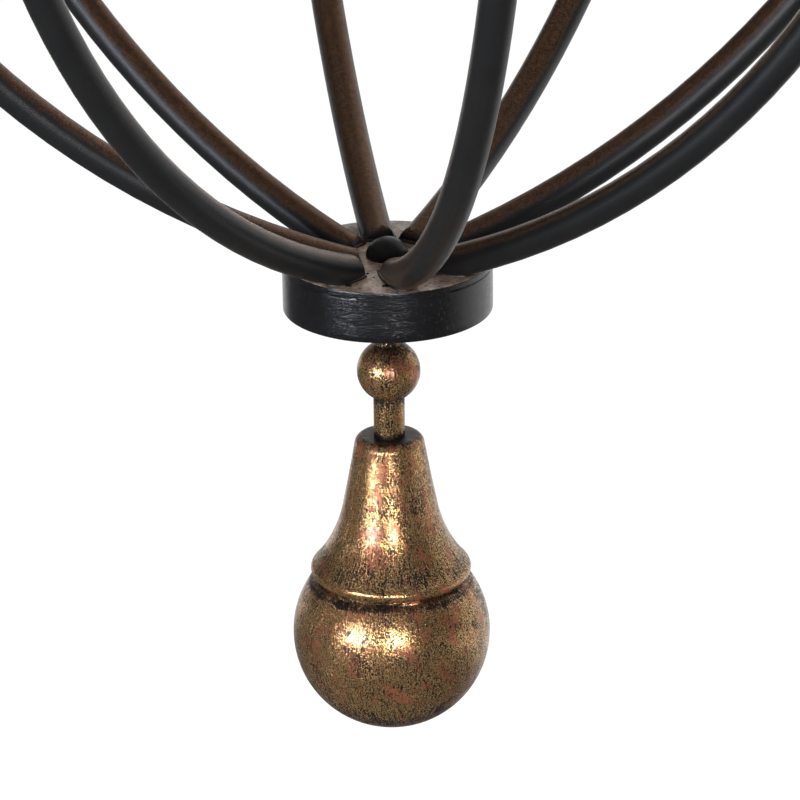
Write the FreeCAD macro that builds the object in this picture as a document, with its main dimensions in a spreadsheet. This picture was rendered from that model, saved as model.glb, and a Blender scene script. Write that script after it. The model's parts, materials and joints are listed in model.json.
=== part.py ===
"""An orb chandelier, hanging from the ceiling.

Eight bent round bars make a cage between two hubs. A light cluster hangs in the cage, a
turned finial closes it below, and three chain links join it to the ceiling set. The
origin is in the ceiling's plane, in the middle of the crossbar's slots, with +Z up.
All lengths are millimetres.
"""
import FreeCAD, Part
import os
import re
import Sketcher

NODES = []

SIZES = {
    # Canopy: the cover against the ceiling.
    "canopy_width": 127.0,
    "canopy_depth": 26.0,
    "canopy_wall": 1.2,
    "canopy_rim_height": 3.0,
    "canopy_crown_width": 48.0,
    "canopy_hole_gap": 0.4,
    # Crossbar: the strap that the ceiling box's screws hold.
    "crossbar_length": 108.0,
    "crossbar_width": 16.0,
    "crossbar_thickness": 2.0,
    "crossbar_drop": 8.0,
    "crossbar_middle": 44.0,
    "crossbar_slope": 8.0,
    "crossbar_corner": 3.0,
    "slot_spacing": 79.4,
    "slot_length": 14.0,
    "slot_width": 4.5,
    "ground_screw_place": 15.0,
    "ground_screw_shank": 4.0,
    "ground_screw_head": 7.6,
    "ground_screw_head_height": 2.4,
    # Threaded tubes, which the wires pass through, and the nut that locks the upper one.
    "nipple_width": 10.3,
    "nipple_bore": 7.0,
    "nipple_top_gap": 3.0,
    "nipple_grip": 12.0,
    "thread_gap": 0.05,
    "locknut_width": 15.0,
    "locknut_height": 4.0,
    # The two rings that the chain hangs in and carries, and the collar under the canopy.
    "ring_width": 26.0,
    "ring_wire": 6.0,
    "loop_flange_width": 27.0,
    "loop_flange_height": 3.0,
    "loop_neck_width": 16.0,
    "loop_neck_height": 5.0,
    "loop_stem_width": 22.0,
    "loop_stem_height": 18.0,
    "loop_thread_depth": 7.0,
    "collar_width": 34.0,
    "collar_height": 6.0,
    "collar_slack": 2.0,
    "collar_edge": 1.0,
    # Chain links.
    "link_wire": 5.0,
    "link_inner_length": 34.0,
    "link_inner_width": 14.0,
    "hang_gap": 0.3,
    # Cage: hubs, the thin plates on them, and the bent bars.
    "cage_width": 625.0,
    "cage_height": 790.0,
    "rib_bar": 15.9,
    "rib_foot_radius": 25.2,
    "rib_spare": 24.0,
    "rib_first_angle": 22.5,
    "hub_width": 101.6,
    "hub_thickness": 22.0,
    "plate_thickness": 3.4,
    "hub_edge": 0.3,
    "bore_gap": 0.25,
    # How far from the axis the bars are cut off, all alike at the upper hub. At the lower
    # hub they are trimmed by hand, so they differ.
    "rib_top_end": 22.0,
    "rib_1_end": 22.0,
    "rib_2_end": 21.0,
    "rib_3_end": 22.0,
    "rib_4_end": 19.0,
    "rib_5_end": 14.5,
    "rib_6_end": 30.0,
    "rib_7_end": 20.5,
    "rib_8_end": 22.0,
    # Nut and rod that hold the finial.
    "cap_nut_width": 20.5,
    "cap_nut_side": 2.0,
    "cap_nut_height": 9.6,
    "cap_nut_depth": 7.0,
    "stud_width": 9.5,
    "stud_end_gap": 0.5,
    # Finial, from the hub down.
    "finial_tube_width": 13.0,
    "finial_tube_length": 19.5,
    "bead_width": 31.0,
    "finial_neck_width": 15.3,
    "finial_neck_length": 20.3,
    "bell_height": 75.8,
    "bell_crown_width": 25.0,
    "bell_shoulder_width": 34.4,
    "bell_shoulder_drop": 4.2,
    "bell_shoulder_bulge": 1.3,
    "bell_waist_width": 46.0,
    "bell_waist_drop": 35.0,
    "bell_waist_hollow": 0.15,
    "bell_lip_width": 79.2,
    "bell_lip_roll": 7.2,
    "bell_lip_drop": 70.3,
    "bell_flare_hollow": 2.3,
    "bell_foot_width": 74.0,
    "ball_width": 97.6,
    "ball_seat_drop": 29.0,
    "ball_thread_depth": 32.0,
    # Stem and the turned parts of the light cluster.
    "stem_width": 13.0,
    "stem_collar_width": 32.0,
    "stem_collar_height": 6.0,
    "cluster_drop": 440.0,
    "cluster_width": 48.0,
    "cluster_height": 22.0,
    "cluster_cap_height": 24.0,
    "cluster_cap_rim": 4.0,
    "cluster_cap_neck": 18.0,
    "cluster_base_height": 20.0,
    "cluster_base_foot": 18.0,
    "cluster_socket": 8.0,
    "knob_width": 18.0,
    "knob_neck_width": 9.0,
    "knob_neck_height": 5.0,
    "knob_stud_width": 6.0,
    # Arms.
    "arm_width": 10.0,
    "arm_root": 16.0,
    "arm_straight": 12.0,
    "arm_shoulder": 30.0,
    "arm_dip_angle": 50.0,
    "arm_reach": 150.0,
    "arm_tip": 14.0,
    # Drip pans and candle sleeves.
    "pan_width": 68.0,
    "pan_wall": 1.5,
    "pan_rise": 4.0,
    "pan_lip": 4.0,
    "pan_boss_width": 18.0,
    "pan_grip": 12.0,
    "pan_spigot_height": 5.0,
    "sleeve_width": 25.0,
    "sleeve_wall": 1.5,
    "sleeve_height": 100.0,
    "sleeve_gap": 0.2,
    # Lamp holders and bulbs.
    "socket_width": 20.0,
    "socket_height": 30.0,
    "socket_floor": 4.0,
    "socket_post_width": 6.0,
    "socket_top_drop": 2.0,
    "bulb_base_width": 12.0,
    "bulb_neck_width": 16.0,
    "bulb_width": 35.0,
    "bulb_belly_height": 28.0,
    "bulb_shoulder_angle": 15.0,
    "bulb_tip_width": 4.0,
    "bulb_height": 84.0,
}

CHAIN_LINKS = 3
RIBS = 8
LIGHTS = 4

# Places worked out from the sizes. Heights are above the ceiling's plane, so negative.
PLACES = {
    "nipple_radius": "nipple_width / 2",
    "nipple_fit": "nipple_width / 2 + thread_gap",
    "stud_radius": "stud_width / 2",
    "stud_fit": "stud_width / 2 + thread_gap",
    "stud_bore": "stud_width / 2 + bore_gap",
    "middle_top": "-crossbar_drop",
    "middle_floor": "-crossbar_drop - crossbar_thickness",
    "nipple_top": "-nipple_top_gap",
    "ring_reach": "(ring_width + ring_wire - loop_flange_height) / 2",
    "collar_floor": "-canopy_depth - collar_height",
    "upper_flange_top": "-canopy_depth - collar_height - collar_slack",
    "upper_stem_top": "upper_flange_top + loop_stem_height",
    "upper_ring": "upper_flange_top - loop_flange_height - ring_reach",
    "hang_1": "upper_ring - ring_width / 2",
    "link_1": "hang_1 + ring_wire / 2 + hang_gap - link_inner_length / 2",
    "lower_ring": f"hang_{CHAIN_LINKS + 1} + link_wire / 2 + hang_gap - (ring_width - ring_wire) / 2",
    "hub_top": "lower_ring - ring_reach - loop_flange_height",
    "cage_top": "hub_top - hub_thickness - plate_thickness",
    "cage_floor": "cage_top - cage_height",
    "cage_middle": "cage_top - cage_height / 2",
    "hub_floor": "cage_floor - plate_thickness - hub_thickness",
    "rib_reach": "cage_width / 2 - rib_bar / 2",
    "rib_rise": "rib_reach - rib_foot_radius",
    "rib_bend": "(rib_rise ^ 2 + (cage_height / 2) ^ 2) / (2 * rib_rise)",
    "rib_axis": "rib_reach - rib_bend",
    "bead_top": "hub_floor - finial_tube_length",
    "bead_middle": "bead_top - sqrt((bead_width / 2) ^ 2 - (finial_tube_width / 2) ^ 2)",
    "bead_floor": "bead_middle - sqrt((bead_width / 2) ^ 2 - (finial_neck_width / 2) ^ 2)",
    "bell_top": "bead_floor - finial_neck_length",
    "bell_floor": "bell_top - bell_height",
    "ball_middle": "bell_floor - ball_seat_drop",
    "ball_seat": "sqrt((ball_width / 2) ^ 2 - ball_seat_drop ^ 2)",
    "stem_top": "cage_top - stem_collar_height",
    "cluster_middle": "cage_top - cluster_drop",
    "cluster_top": "cluster_middle + cluster_height / 2",
    "cluster_floor": "cluster_middle - cluster_height / 2",
    "knob_top": "cluster_floor - cluster_base_height",
    "knob_neck_floor": "knob_top - knob_neck_height",
    "knob_middle": "knob_neck_floor - sqrt((knob_width / 2) ^ 2 - (knob_neck_width / 2) ^ 2)",
    "arm_bend_start": "arm_root + arm_straight",
    "arm_dip": "arm_dip_angle * 1 deg",
    "arm_bowl": "(arm_reach - arm_bend_start - arm_shoulder * sin(arm_dip)) / (1 + sin(arm_dip))",
    "arm_turn_place": "arm_bend_start + arm_shoulder * sin(arm_dip)",
    "arm_turn_height": "cluster_middle - arm_shoulder * (1 - cos(arm_dip))",
    "arm_bowl_height": "arm_turn_height + arm_bowl * cos(arm_dip)",
    "arm_top": "arm_bowl_height + arm_tip",
    "pan_floor": "arm_top + pan_wall",
    "spigot_radius": "sleeve_width / 2 - sleeve_wall - sleeve_gap",
    "spigot_top": "pan_floor + pan_spigot_height",
    "sleeve_top": "pan_floor + sleeve_height",
    "socket_top": "sleeve_top - socket_top_drop",
    "socket_bore_floor": "socket_top - socket_height + socket_floor",
}

for number in range(1, CHAIN_LINKS + 1):
    PLACES[f"hang_{number + 1}"] = f"link_{number} - link_inner_length / 2 - link_wire / 2"
    PLACES[f"link_{number + 1}"] = (
        f"hang_{number + 1} + link_wire / 2 + hang_gap - link_inner_length / 2"
    )

os.makedirs("parts", exist_ok=True)
doc = FreeCAD.newDocument("orb_chandelier")
sheet = doc.addObject("Spreadsheet::Sheet", "Sizes")
for line, (size_name, size) in enumerate(SIZES.items(), start=1):
    sheet.set(f"A{line}", size_name)
    sheet.set(f"B{line}", str(size))
    sheet.setAlias(f"B{line}", size_name)
doc.recompute()


def formula(text):
    """Text with every size read from the sheet and every place written out."""

    def spell(found):
        word = found.group(0)
        if word in PLACES:
            return "(" + formula(PLACES[word]) + ")"
        if word in SIZES:
            return "Sizes." + word
        return word

    return re.sub(r"[a-z][a-z_0-9]*", spell, text)


def number_of(text):
    """What a formula comes to now."""
    result = sheet.evalExpression(formula(text))
    return float(getattr(result, "Value", result))


def point_of(across, up):
    return FreeCAD.Vector(number_of(across), number_of(up), 0)


def new_body(label):
    """An empty body whose label is the node's name."""
    body = doc.addObject("PartDesign::Body", label)
    body.Label = label
    NODES.append(body)
    return body


def origin_feature(body, role):
    """One of the body's own planes or axes."""
    return next(f for f in body.Origin.OriginFeatures if f.Role == role)


def new_sketch(body, name, plane, lift="0"):
    """A sketch on one of the body's own planes, moved along that plane's normal."""
    sketch = body.newObject("Sketcher::SketchObject", name)
    sketch.AttachmentSupport = (origin_feature(body, plane), [""])
    sketch.MapMode = "FlatFace"
    if lift != "0":
        sketch.setExpression("AttachmentOffset.Base.z", formula(lift))
    return sketch


def bind(sketch, constraint, text):
    """Adds a constraint and ties its value to a formula."""
    index = sketch.addConstraint(constraint)
    sketch.setExpression(f"Constraints[{index}]", formula(text))


def pin(sketch, edge, end, across, up):
    """Holds one end of an edge at a place in the sketch."""
    if across == "0":
        sketch.addConstraint(Sketcher.Constraint("PointOnObject", edge, end, -2))
    else:
        value = number_of(across)
        bind(sketch, Sketcher.Constraint("DistanceX", -1, 1, edge, end, value), across)
    if up == "0":
        sketch.addConstraint(Sketcher.Constraint("PointOnObject", edge, end, -1))
    else:
        value = number_of(up)
        bind(sketch, Sketcher.Constraint("DistanceY", -1, 1, edge, end, value), up)


def arc_between(start, stop, radius):
    """The short arc from start to stop. It bulges to the right of the way, or to the
    left where radius is negative."""
    way = stop - start
    half = way.Length / 2
    right = FreeCAD.Vector(way.y, -way.x, 0).normalize()
    bow = abs(radius) - (radius * radius - half * half) ** 0.5
    if radius < 0:
        bow = -bow
    return Part.Arc(start, (start + stop) * 0.5 + right * bow, stop)


def draw(sketch, corners, rounds=None, closed=True):
    """Draws lines from corner to corner. rounds gives the radius of each edge that is an
    arc, by the number of the corner that it starts at."""
    rounds = rounds or {}
    points = [point_of(across, up) for across, up in corners]
    count = len(corners) if closed else len(corners) - 1
    ends = []
    for index in range(count):
        start = points[index]
        stop = points[(index + 1) % len(points)]
        if index in rounds:
            radius = number_of(rounds[index])
            edge = sketch.addGeometry(arc_between(start, stop, radius), False)
            backwards = sketch.getPoint(edge, 1).distanceToPoint(start) > 1e-4
            size = Sketcher.Constraint("Radius", edge, abs(radius))
            bind(sketch, size, rounds[index] if radius > 0 else f"-({rounds[index]})")
        else:
            edge = sketch.addGeometry(Part.LineSegment(start, stop), False)
            backwards = False
        ends.append((edge, 2, 1) if backwards else (edge, 1, 2))
    for index, (edge, first, last) in enumerate(ends):
        pin(sketch, edge, first, *corners[index])
        if closed or index + 1 < count:
            follower, its_first, _ = ends[(index + 1) % count]
            joint = Sketcher.Constraint("Coincident", edge, last, follower, its_first)
            sketch.addConstraint(joint)
        else:
            pin(sketch, edge, last, *corners[index + 1])


def draw_circle(sketch, across, up, radius):
    centre = point_of(across, up)
    size = number_of(radius)
    circle = Part.Circle(centre, FreeCAD.Vector(0, 0, 1), size)
    edge = sketch.addGeometry(circle, False)
    bind(sketch, Sketcher.Constraint("Radius", edge, size), radius)
    pin(sketch, edge, 3, across, up)


def bow(start, stop, height):
    """The radius of an arc between two corners that stands height off its chord."""
    across = f"(({stop[0]}) - ({start[0]}))"
    up = f"(({stop[1]}) - ({start[1]}))"
    return f"(({across} ^ 2 + {up} ^ 2) / (8 * ({height})) + ({height}) / 2)"


def ball_radius(near, deep, far, shallow):
    """The radius of the ball, centred on the axis, through two rings of its surface."""
    squares = f"(({far}) ^ 2 + ({shallow}) ^ 2 - ({near}) ^ 2 - ({deep}) ^ 2)"
    centre = f"({squares} / (2 * (({shallow}) - ({deep}))))"
    return f"sqrt(({near}) ^ 2 + (({deep}) - {centre}) ^ 2)"


def revolve(body, sketch, kind="Revolution", axis="V_Axis"):
    turned_feature = body.newObject("PartDesign::" + kind, sketch.Name + "_turned")
    turned_feature.Profile = sketch
    turned_feature.ReferenceAxis = (sketch, [axis])
    turned_feature.Angle = 360
    return turned_feature


def turned(label, corners, rounds=None):
    """A body turned about the vertical axis. Its outline is in (radius, height)."""
    body = new_body(label)
    sketch = new_sketch(body, label + "_outline", "XZ_Plane")
    draw(sketch, corners, rounds)
    revolve(body, sketch)
    return body


def ring(label, inner, outer, floor, top, edge="0"):
    """A round tube or washer, with its outer edges cut back where edge is given."""
    if edge == "0":
        corners = [(inner, floor), (outer, floor), (outer, top), (inner, top)]
    else:
        corners = [
            (inner, floor),
            (f"{outer} - {edge}", floor),
            (outer, f"{floor} + {edge}"),
            (outer, f"{top} - {edge}"),
            (f"{outer} - {edge}", top),
            (inner, top),
        ]
    return turned(label, corners)


def pad(body, sketch, length, middle=False):
    feature = body.newObject("PartDesign::Pad", sketch.Name + "_pad")
    feature.Profile = sketch
    feature.setExpression("Length", formula(length))
    feature.Midplane = middle
    return feature


def pocket(body, sketch):
    """Cuts the sketch's outline right through, both ways from its plane."""
    feature = body.newObject("PartDesign::Pocket", sketch.Name + "_cut")
    feature.Profile = sketch
    feature.Type = 1
    feature.Midplane = True
    return feature


def set_round(body, angle, reach="0"):
    """Turns a body about the vertical axis, and moves it out along its own X."""
    upright = FreeCAD.Vector(0, 0, 1)
    body.Placement = FreeCAD.Placement(FreeCAD.Vector(), FreeCAD.Rotation(upright, 1))
    body.setExpression("Placement.Rotation.Angle", formula(angle))
    if reach != "0":
        body.setExpression("Placement.Base.x", formula(f"({reach}) * cos(({angle}) * 1 deg)"))
        body.setExpression("Placement.Base.y", formula(f"({reach}) * sin(({angle}) * 1 deg)"))


def canopy():
    rim = "canopy_width / 2"
    crown = "canopy_crown_width / 2"
    hole = "loop_stem_width / 2 + canopy_hole_gap"
    inner = f"({rim} - canopy_wall)"
    inner_floor = "(canopy_depth - canopy_wall)"
    turned(
        "canopy",
        [
            (hole, "-canopy_depth"),
            (crown, "-canopy_depth"),
            (rim, "-canopy_rim_height"),
            (rim, "0"),
            (inner, "0"),
            (inner, "-canopy_rim_height"),
            (crown, f"-{inner_floor}"),
            (hole, f"-{inner_floor}"),
        ],
        {
            1: ball_radius(crown, "canopy_depth", rim, "canopy_rim_height"),
            5: "-" + ball_radius(crown, inner_floor, inner, "canopy_rim_height"),
        },
    )


def crossbar():
    body = new_body("crossbar")
    end = "crossbar_length / 2"
    flat = "crossbar_middle / 2"
    knee = "(crossbar_middle / 2 + crossbar_slope)"
    floor = "-crossbar_thickness"
    right = [(flat, "middle_floor"), (knee, floor), (end, floor), (end, "0"), (knee, "0"),
             (flat, "middle_top")]
    left = [(f"-({across})", up) for across, up in reversed(right)]
    side = new_sketch(body, "crossbar_side", "XZ_Plane")
    draw(side, right + left)
    pad(body, side, "crossbar_width", middle=True)
    holes = new_sketch(body, "crossbar_holes", "XY_Plane")
    draw_circle(holes, "0", "0", "nipple_fit")
    draw_circle(holes, "ground_screw_place", "0", "ground_screw_shank / 2 + thread_gap")
    pocket(body, holes)
    for name, sign in (("right", "1"), ("left", "-1")):
        middle = f"{sign} * slot_spacing / 2"
        half = "(slot_length - slot_width) / 2"
        slot = new_sketch(body, f"crossbar_slot_{name}", "XY_Plane")
        draw(
            slot,
            [
                (f"{middle} - {half}", "-slot_width / 2"),
                (f"{middle} + {half}", "-slot_width / 2"),
                (f"{middle} + {half}", "slot_width / 2"),
                (f"{middle} - {half}", "slot_width / 2"),
            ],
        )
        pocket(body, slot)
        rounds = new_sketch(body, f"crossbar_slot_ends_{name}", "XY_Plane")
        draw_circle(rounds, f"{middle} - {half}", "0", "slot_width / 2")
        draw_circle(rounds, f"{middle} + {half}", "0", "slot_width / 2")
        pocket(body, rounds)
    doc.recompute()
    strap = body.Tip
    reach = number_of(end)
    corners = [
        f"Edge{index}"
        for index, edge in enumerate(strap.Shape.Edges, start=1)
        if abs(abs(edge.CenterOfMass.x) - reach) < 1e-6
        and abs(edge.tangentAt(edge.FirstParameter).z) > 0.99
    ]
    soften = body.newObject("PartDesign::Fillet", "crossbar_corners")
    soften.Base = (strap, corners)
    soften.setExpression("Radius", formula("crossbar_corner"))


def ground_screw():
    shank = "ground_screw_shank / 2"
    head = "ground_screw_head / 2"
    head_floor = "middle_floor - ground_screw_head_height"
    body = turned(
        "ground_screw",
        [
            ("0", head_floor),
            (f"{head} * 0.6", head_floor),
            (head, "middle_floor - ground_screw_head_height / 2"),
            (head, "middle_floor"),
            (shank, "middle_floor"),
            (shank, "middle_top"),
            ("0", "middle_top"),
        ],
    )
    set_round(body, "0", "ground_screw_place")


def locknut():
    body = new_body("crossbar_locknut")
    plan = new_sketch(body, "locknut_plan", "XY_Plane", "middle_top")
    reach = "locknut_width / 2 / cos(30 deg)"
    draw(plan, [(f"{reach} * cos({60 * k} deg)", f"{reach} * sin({60 * k} deg)") for k in range(6)])
    pad(body, plan, "locknut_height")
    hole = new_sketch(body, "locknut_hole", "XY_Plane")
    draw_circle(hole, "0", "0", "nipple_fit")
    pocket(body, hole)


def eye_loop(label, middle, side, stem):
    """A ring with a flange on a short neck, and a threaded bore that the wires pass
    through. side is 1 where the flange is above the ring and -1 where it is below."""
    flange = f"{middle} + {side} * ring_reach"
    seat = f"{flange} + {side} * loop_flange_height"
    top = f"{seat} + {side} * ({stem})"
    neck = f"{flange} - {side} * loop_neck_height"
    body = new_body(label)
    outline = new_sketch(body, label + "_outline", "XZ_Plane")
    corners = [
        ("0", neck),
        ("loop_neck_width / 2", neck),
        ("loop_flange_width / 2", flange),
        ("loop_flange_width / 2", seat),
    ]
    if stem == "0":
        corners += [("0", seat)]
    else:
        corners += [("loop_stem_width / 2", seat), ("loop_stem_width / 2", top), ("0", top)]
    draw(outline, corners)
    revolve(body, outline)
    wire = new_sketch(body, label + "_wire", "YZ_Plane")
    draw_circle(wire, "0", f"{middle} - {side} * ring_width / 2", "ring_wire / 2")
    reach = number_of("ring_wire")
    level = number_of(middle)
    start = FreeCAD.Vector(-reach, level, 0)
    stop = FreeCAD.Vector(reach, level, 0)
    axis = wire.addGeometry(Part.LineSegment(start, stop), True)
    pin(wire, axis, 1, "-ring_wire", middle)
    pin(wire, axis, 2, "ring_wire", middle)
    revolve(body, wire, axis="Axis0")
    bore = new_sketch(body, label + "_bore", "XZ_Plane")
    floor = f"{top} - {side} * loop_thread_depth"
    draw(
        bore,
        [
            ("0", middle),
            ("nipple_bore / 2", middle),
            ("nipple_bore / 2", floor),
            ("nipple_fit", floor),
            ("nipple_fit", top),
            ("0", top),
        ],
    )
    revolve(body, bore, kind="Groove")


def chain_link(number):
    """A link bent from round wire. Odd links face along X and even ones along Y."""
    label = f"chain_link_{number}"
    plane = "YZ_Plane" if number % 2 else "XZ_Plane"
    middle = f"link_{number}"
    half = "(link_inner_width + link_wire) / 2"
    rise = "(link_inner_length - link_inner_width) / 2"
    body = new_body(label)
    path = new_sketch(body, label + "_path", plane)
    leg_top = f"{middle} + {rise}"
    leg_floor = f"{middle} - {rise}"
    left = f"-{half}"
    crest = f"{leg_top} + {half}"
    trough = f"{leg_floor} - {half}"
    quarter = {1: half, 2: half, 4: half, 5: half}
    draw(
        path,
        [
            (half, middle),
            (half, leg_top),
            ("0", crest),
            (left, leg_top),
            (left, leg_floor),
            ("0", trough),
            (half, leg_floor),
        ],
        quarter,
    )
    section = new_sketch(body, label + "_section", "XY_Plane", middle)
    if number % 2:
        draw_circle(section, "0", half, "link_wire / 2")
    else:
        draw_circle(section, half, "0", "link_wire / 2")
    pipe = body.newObject("PartDesign::AdditivePipe", label + "_wire")
    pipe.Profile = section
    pipe.Spine = path


def hub(label, bore, floor, thickness):
    ring(label, bore, "hub_width / 2", floor, f"{floor} + {thickness}", edge="hub_edge")


def rib(number):
    """A round bar bent to one radius, cut flat where it meets the hubs."""
    label = f"rib_{number}"
    body = new_body(label)
    section = new_sketch(body, label + "_section", "XY_Plane", "cage_middle")
    draw_circle(section, "rib_reach", "0", "rib_bar / 2")
    bend_axis = number_of("rib_axis")
    reach = number_of("rib_bar")
    start = FreeCAD.Vector(bend_axis, -reach, 0)
    stop = FreeCAD.Vector(bend_axis, reach, 0)
    axis = section.addGeometry(Part.LineSegment(start, stop), True)
    pin(section, axis, 1, "rib_axis", "-rib_bar")
    pin(section, axis, 2, "rib_axis", "rib_bar")
    bar = revolve(body, section, axis="Axis0")
    bar.Midplane = True
    half_angle = "asin(cage_height / 2 / rib_bend) + 180 deg / pi * rib_spare / rib_bend"
    bar.setExpression("Angle", formula(f"2 * ({half_angle})"))
    ends = new_sketch(body, label + "_ends", "XZ_Plane")
    cuts = (("cage_top", "1", "rib_top_end"), ("cage_floor", "-1", f"rib_{number}_end"))
    for hub_face, way, end in cuts:
        beyond = f"{hub_face} + {way} * 2 * rib_bar"
        inside = f"{hub_face} - {way} * 2 * rib_bar"
        draw(
            ends,
            [
                (f"{end} - 2 * rib_bar", inside),
                (end, inside),
                (end, hub_face),
                (f"{end} + 4 * rib_bar", hub_face),
                (f"{end} + 4 * rib_bar", beyond),
                (f"{end} - 2 * rib_bar", beyond),
            ],
        )
    pocket(body, ends)
    set_round(body, f"rib_first_angle + {number - 1} * 360 / {RIBS}")


def cap_nut():
    side = "cage_floor + cap_nut_side"
    dome = "(cap_nut_height - cap_nut_side)"
    turned(
        "cap_nut",
        [
            ("stud_fit", "cage_floor"),
            ("cap_nut_width / 2", "cage_floor"),
            ("cap_nut_width / 2", side),
            ("0", "cage_floor + cap_nut_height"),
            ("0", "cage_floor + cap_nut_depth"),
            ("stud_fit", "cage_floor + cap_nut_depth"),
        ],
        {2: f"((cap_nut_width / 2) ^ 2 + {dome} ^ 2) / (2 * {dome})"},
    )


def finial():
    """The turned pieces that hang under the lower hub, on one threaded rod."""
    rod_top = "cage_floor + cap_nut_depth - stud_end_gap"
    rod_floor = "bell_floor - ball_thread_depth + stud_end_gap"
    turned(
        "finial_stud",
        [("0", rod_floor), ("stud_radius", rod_floor), ("stud_radius", rod_top), ("0", rod_top)],
    )
    ring("finial_collar_tube", "stud_bore", "finial_tube_width / 2", "bead_top", "hub_floor")
    turned(
        "finial_bead",
        [
            ("stud_bore", "bead_floor"),
            ("finial_neck_width / 2", "bead_floor"),
            ("finial_tube_width / 2", "bead_top"),
            ("stud_bore", "bead_top"),
        ],
        {1: "bead_width / 2"},
    )
    ring("finial_neck", "stud_bore", "finial_neck_width / 2", "bell_top", "bead_floor")
    finial_bell()
    ball_bore_floor = "bell_floor - ball_thread_depth"
    turned(
        "finial_ball",
        [
            ("0", "ball_middle - ball_width / 2"),
            ("ball_seat", "bell_floor"),
            ("stud_fit", "bell_floor"),
            ("stud_fit", ball_bore_floor),
            ("0", ball_bore_floor),
        ],
        {0: "ball_width / 2"},
    )


def finial_bell():
    """A bell with a rounded shoulder, a hollow flare and a half-round lip."""
    lip_in = "bell_lip_width / 2 - bell_lip_roll / 2"
    lip_middle = "bell_top - bell_lip_drop"
    foot = ("bell_foot_width / 2", "bell_floor")
    lip_foot = (lip_in, f"{lip_middle} - bell_lip_roll / 2")
    lip_side = ("bell_lip_width / 2", lip_middle)
    lip_top = (f"{lip_in} + bell_lip_roll / 4", f"{lip_middle} + bell_lip_roll / 2 * sqrt(3) / 2")
    waist = ("bell_waist_width / 2", "bell_top - bell_waist_drop")
    shoulder = ("bell_shoulder_width / 2", "bell_top - bell_shoulder_drop")
    crown = ("bell_crown_width / 2", "bell_top")
    turned(
        "finial_bell",
        [
            ("stud_bore", "bell_floor"),
            foot,
            lip_foot,
            lip_side,
            lip_top,
            waist,
            shoulder,
            crown,
            ("stud_bore", "bell_top"),
        ],
        {
            2: "bell_lip_roll / 2",
            3: "bell_lip_roll / 2",
            4: "-" + bow(lip_top, waist, "bell_flare_hollow"),
            5: "-" + bow(waist, shoulder, "bell_waist_hollow"),
            6: bow(shoulder, crown, "bell_shoulder_bulge"),
        },
    )


def cluster():
    """The stem and the turned parts in the middle of the lights."""
    cap_top = "cluster_top + cluster_cap_height"
    stem = "stem_width / 2"
    stem_hole = "stem_width / 2 + thread_gap"
    stem_floor = "cluster_top - cluster_socket"
    stud = "knob_stud_width / 2"
    stud_hole = "knob_stud_width / 2 + thread_gap"
    stud_top = "cluster_floor + cluster_socket"
    ring("stem_collar", "nipple_fit", "stem_collar_width / 2", "stem_top", "cage_top", "collar_edge")
    ring("centre_stem", "nipple_fit", stem, stem_floor, "stem_top")
    turned(
        "cluster_cap",
        [
            (stem_hole, "cluster_top"),
            ("cluster_width / 2", "cluster_top"),
            ("cluster_width / 2", "cluster_top + cluster_cap_rim"),
            ("cluster_cap_neck / 2", cap_top),
            (stem_hole, cap_top),
        ],
    )
    body = turned(
        "cluster_body",
        [
            ("0", stud_top),
            (stud_hole, stud_top),
            (stud_hole, "cluster_floor"),
            ("cluster_width / 2", "cluster_floor"),
            ("cluster_width / 2", "cluster_top"),
            (stem_hole, "cluster_top"),
            (stem_hole, stem_floor),
            ("0", stem_floor),
        ],
    )
    socket = new_sketch(body, "arm_hole", "YZ_Plane", "arm_root")
    draw_circle(socket, "0", "cluster_middle", "arm_width / 2 + thread_gap")
    hole = body.newObject("PartDesign::Pocket", "arm_hole_cut")
    hole.Profile = socket
    hole.Reversed = True
    hole.setExpression("Length", formula("cluster_width / 2"))
    around = body.newObject("PartDesign::PolarPattern", "arm_holes")
    around.Originals = [hole]
    around.Axis = (origin_feature(body, "Z_Axis"), [""])
    around.Angle = 360
    around.Occurrences = LIGHTS
    body.Tip = around
    foot = ("cluster_base_foot / 2", "knob_top")
    rim = ("cluster_width / 2", "cluster_floor")
    turned(
        "cluster_base",
        [(stud_hole, "knob_top"), foot, rim, (stud_hole, "cluster_floor")],
        {1: ball_radius(foot[0], "cluster_base_height", rim[0], "0")},
    )
    turned(
        "cluster_knob",
        [
            ("0", "knob_middle - knob_width / 2"),
            ("knob_neck_width / 2", "knob_neck_floor"),
            ("knob_neck_width / 2", "knob_top"),
            (stud, "knob_top"),
            (stud, stud_top),
            ("0", stud_top),
        ],
        {0: "knob_width / 2"},
    )


def arm(number):
    """A bent arm: out of the body, down over its shoulder and up to the drip pan."""
    label = f"arm_{number}"
    body = new_body(label)
    path = new_sketch(body, label + "_path", "XZ_Plane")
    draw(
        path,
        [
            ("arm_root", "cluster_middle"),
            ("arm_bend_start", "cluster_middle"),
            ("arm_turn_place", "arm_turn_height"),
            ("arm_reach", "arm_bowl_height"),
            ("arm_reach", "arm_top"),
        ],
        {1: "-arm_shoulder", 2: "arm_bowl"},
        closed=False,
    )
    section = new_sketch(body, label + "_section", "YZ_Plane", "arm_root")
    draw_circle(section, "0", "cluster_middle", "arm_width / 2")
    pipe = body.newObject("PartDesign::AdditivePipe", label + "_tube")
    pipe.Profile = section
    pipe.Spine = path
    set_round(body, light_angle(number))


def light_angle(number):
    return f"{number - 1} * 360 / {LIGHTS}"


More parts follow.
